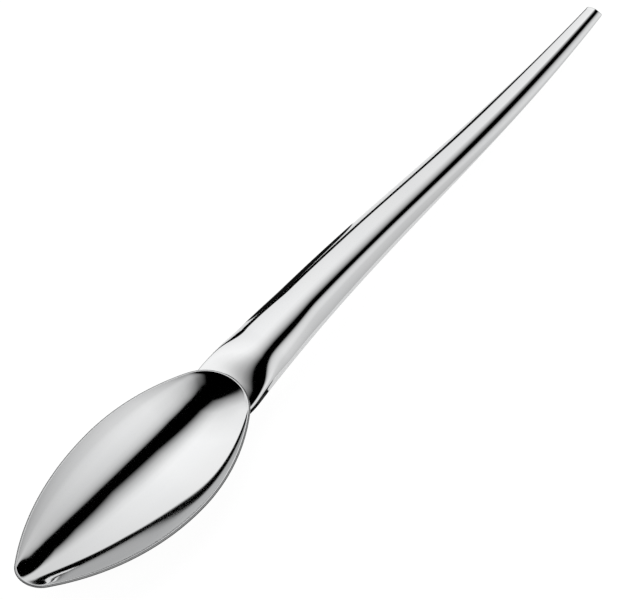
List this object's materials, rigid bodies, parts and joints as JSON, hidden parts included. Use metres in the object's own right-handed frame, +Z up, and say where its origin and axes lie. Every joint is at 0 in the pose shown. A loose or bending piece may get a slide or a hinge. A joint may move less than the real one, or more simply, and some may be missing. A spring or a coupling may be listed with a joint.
{
  "type": "tablespoon",
  "caption": "Mirror-polished tablespoon with a leaf-shaped bowl and a full round-backed hollow handle that tapers to a narrow flat end.",
  "frame": {"origin": "on the table that the spoon lies on, at half the overall length and on the plane of symmetry", "axes": "+X from the bowl tip to the handle end, +Y across the bowl, +Z up out of the bowl"},
  "size_m": [0.205, 0.0316, 0.0133],
  "materials": {
    "polished_steel": "mirror-polished stainless steel",
    "plain_steel": "plain pickled stainless steel",
    "cement": "cast resin cement"
  },
  "bodies": {
    "root": {"bowl": "polished_steel", "tang": "plain_steel", "handle_upper_shell": "polished_steel", "handle_lower_shell": "polished_steel", "handle_filler": "cement", "end_plug": "polished_steel"}
  },
  "joints": []
}
